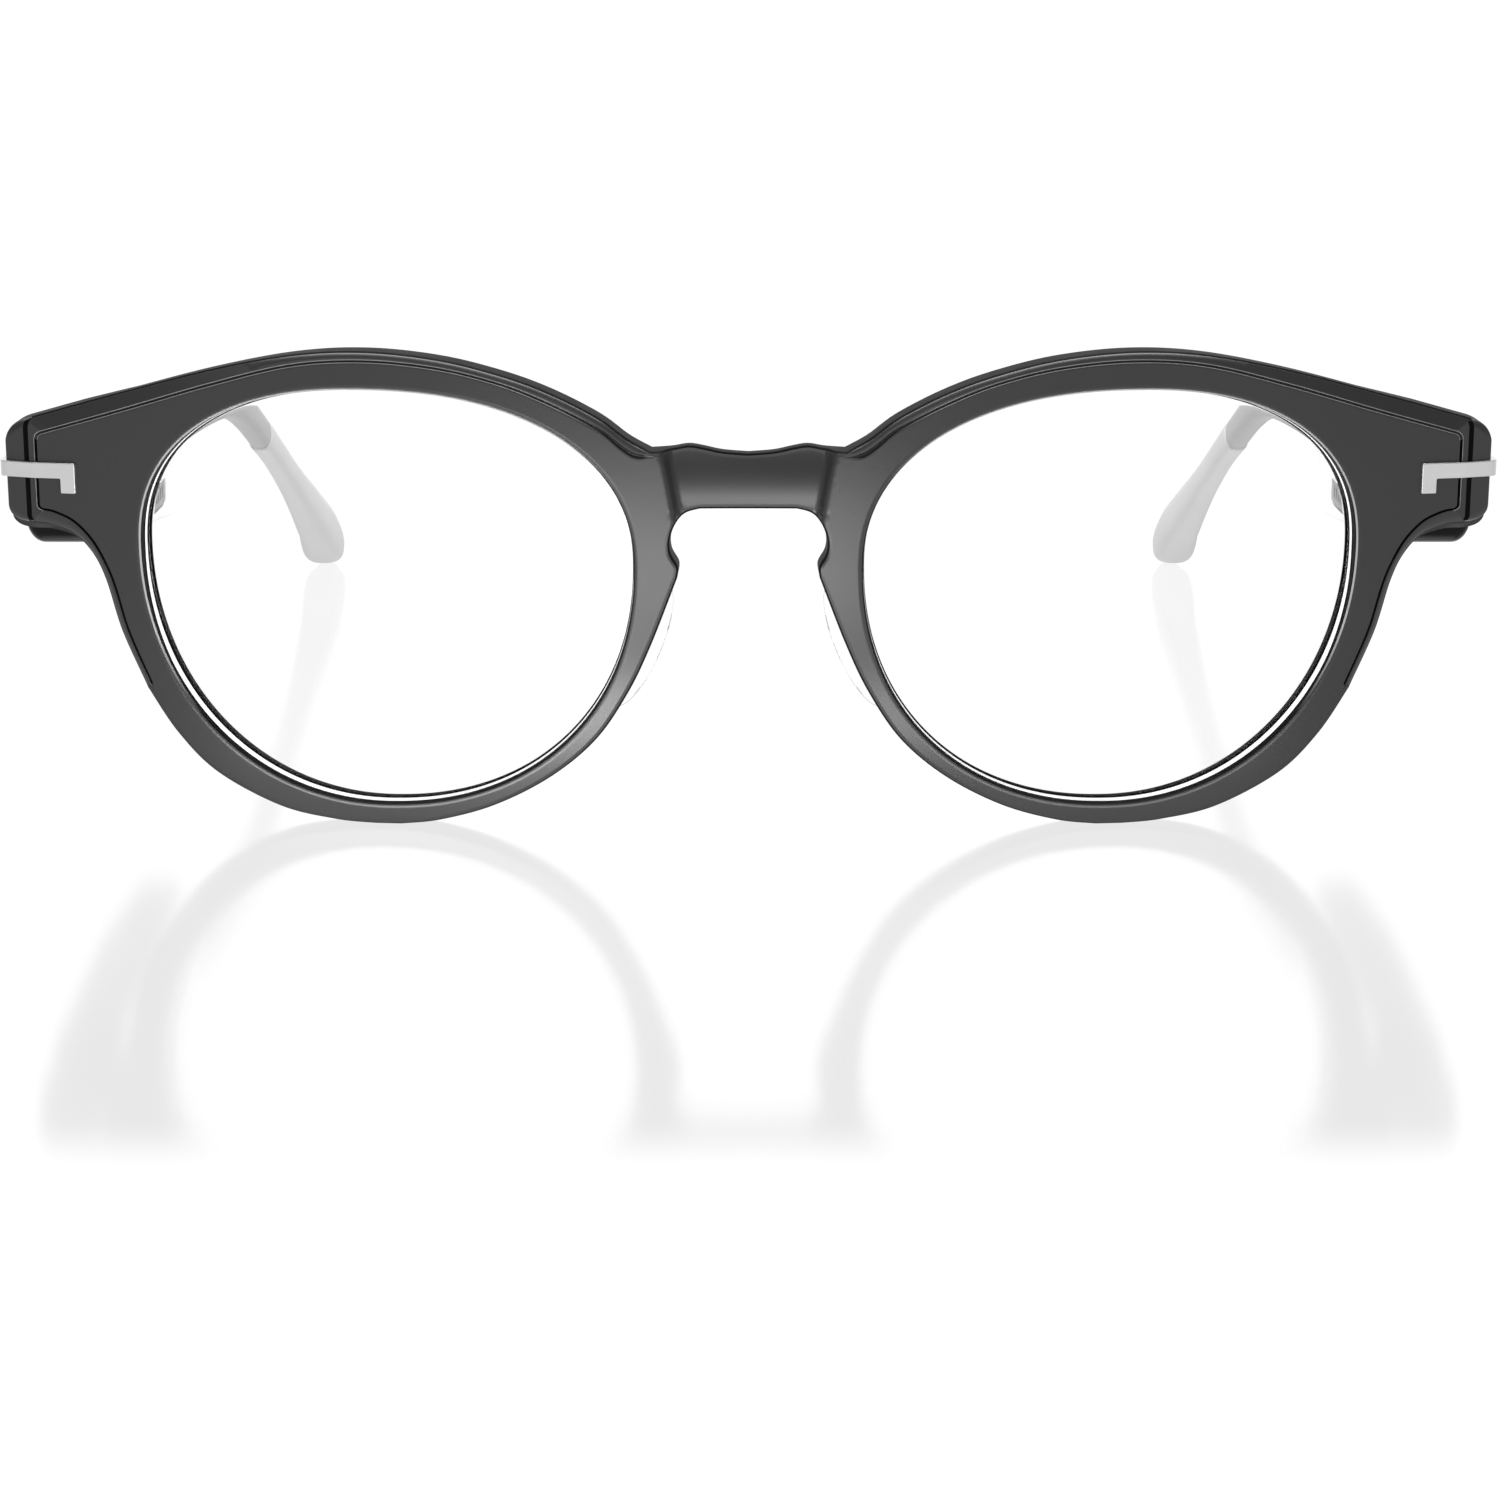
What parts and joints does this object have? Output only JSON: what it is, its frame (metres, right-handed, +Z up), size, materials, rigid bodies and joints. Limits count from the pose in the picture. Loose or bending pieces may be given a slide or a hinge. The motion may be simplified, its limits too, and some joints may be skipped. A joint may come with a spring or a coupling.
{
  "type": "smart glasses",
  "caption": "Round panto smart glasses with a keyhole bridge, clear lenses, metal corner trims, and folding temples that house battery, board and speaker.",
  "frame": {"origin": "centre of the bounding box's bottom, on the surface that the open glasses stand on", "axes": "+Z up, the front faces -Y, the temples run towards +Y, and +X is the wearer's left"},
  "size_m": [0.1468, 0.1441, 0.0467],
  "materials": {
    "front_gloss": "polished moulded black plastic",
    "shell_gloss": "polished moulded black plastic",
    "lens_clear": "clear coated demo lens",
    "pad_silicone": "clear soft silicone",
    "trim_silver": "satin brushed metal",
    "hinge_steel": "machined steel",
    "cover_pale": "fine satin moulding",
    "arm_grey": "fine satin moulding",
    "tip_grey": "soft-touch matte",
    "grille_dark": "fine slotted moulding",
    "button_black": "satin black key caps",
    "contact_gold": "gold plated",
    "battery_foil": "laminated foil pouch",
    "board_green": "solder mask",
    "flex_film": "polyimide film",
    "driver_black": "speaker basket and cone",
    "magnet_nickel": "nickel plated",
    "switch_tin": "tin plated tact switch"
  },
  "bodies": {
    "front": {"front_frame": "front_gloss", "lens_left": "lens_clear", "nose_pad_left": "pad_silicone", "corner_trim_left": "trim_silver", "front_hinge_leaf_left": "hinge_steel", "hinge_screw_left": "hinge_steel", "lens_right": "lens_clear", "nose_pad_right": "pad_silicone", "corner_trim_right": "trim_silver", "front_hinge_leaf_right": "hinge_steel", "hinge_screw_right": "hinge_steel"},
    "left_temple": {"temple_hinge_leaf_left": "hinge_steel", "temple_shell_left": "shell_gloss", "temple_cover_left": "cover_pale", "cover_screw_left_1": "hinge_steel", "cover_screw_left_2": "hinge_steel", "battery_left": "battery_foil", "circuit_board_left": "board_green", "flex_cable_left": "flex_film", "speaker_driver_left": "driver_black", "speaker_grille_left": "grille_dark", "microphone_left": "hinge_steel", "charging_contact_left_1": "contact_gold", "charging_contact_left_2": "contact_gold", "charging_magnet_left": "magnet_nickel", "temple_arm_left": "arm_grey", "ear_tip_left": "tip_grey"},
    "right_temple": {"temple_hinge_leaf_right": "hinge_steel", "temple_shell_right": "shell_gloss", "temple_cover_right": "cover_pale", "cover_screw_right_1": "hinge_steel", "cover_screw_right_2": "hinge_steel", "battery_right": "battery_foil", "circuit_board_right": "board_green", "flex_cable_right": "flex_film", "speaker_driver_right": "driver_black", "speaker_grille_right": "grille_dark", "microphone_right": "hinge_steel", "charging_contact_right_1": "contact_gold", "charging_contact_right_2": "contact_gold", "charging_magnet_right": "magnet_nickel", "temple_arm_right": "arm_grey", "ear_tip_right": "tip_grey", "action_switch": "switch_tin", "volume_switch_front": "switch_tin", "volume_switch_rear": "switch_tin"},
    "action_button": {"action_button": "button_black"},
    "volume_rocker": {"volume_rocker": "button_black"}
  },
  "joints": [
    {"name": "left_temple_fold", "type": "hinge", "parent": "front", "child": "left_temple", "pos_m": [0.0644, -0.059, 0.0341], "axis": [0, 0, 1], "range_deg": [0, 86]},
    {"name": "right_temple_fold", "type": "hinge", "parent": "front", "child": "right_temple", "pos_m": [-0.0644, -0.059, 0.0341], "axis": [0, 0, -1], "range_deg": [0, 80]},
    {"name": "action_button_press", "type": "slide", "parent": "right_temple", "child": "action_button", "axis": [0, 0.1022, 0.9948], "range_m": [0, 0.0005], "stiffness_N_per_m": 600},
    {"name": "volume_rocker_tilt", "type": "hinge", "parent": "right_temple", "child": "volume_rocker", "pos_m": [-0.069, -0.03644, 0.02532], "axis": [1, 0, 0], "range_deg": [-2, 2], "stiffness_Nm_per_rad": 0.02}
  ]
}
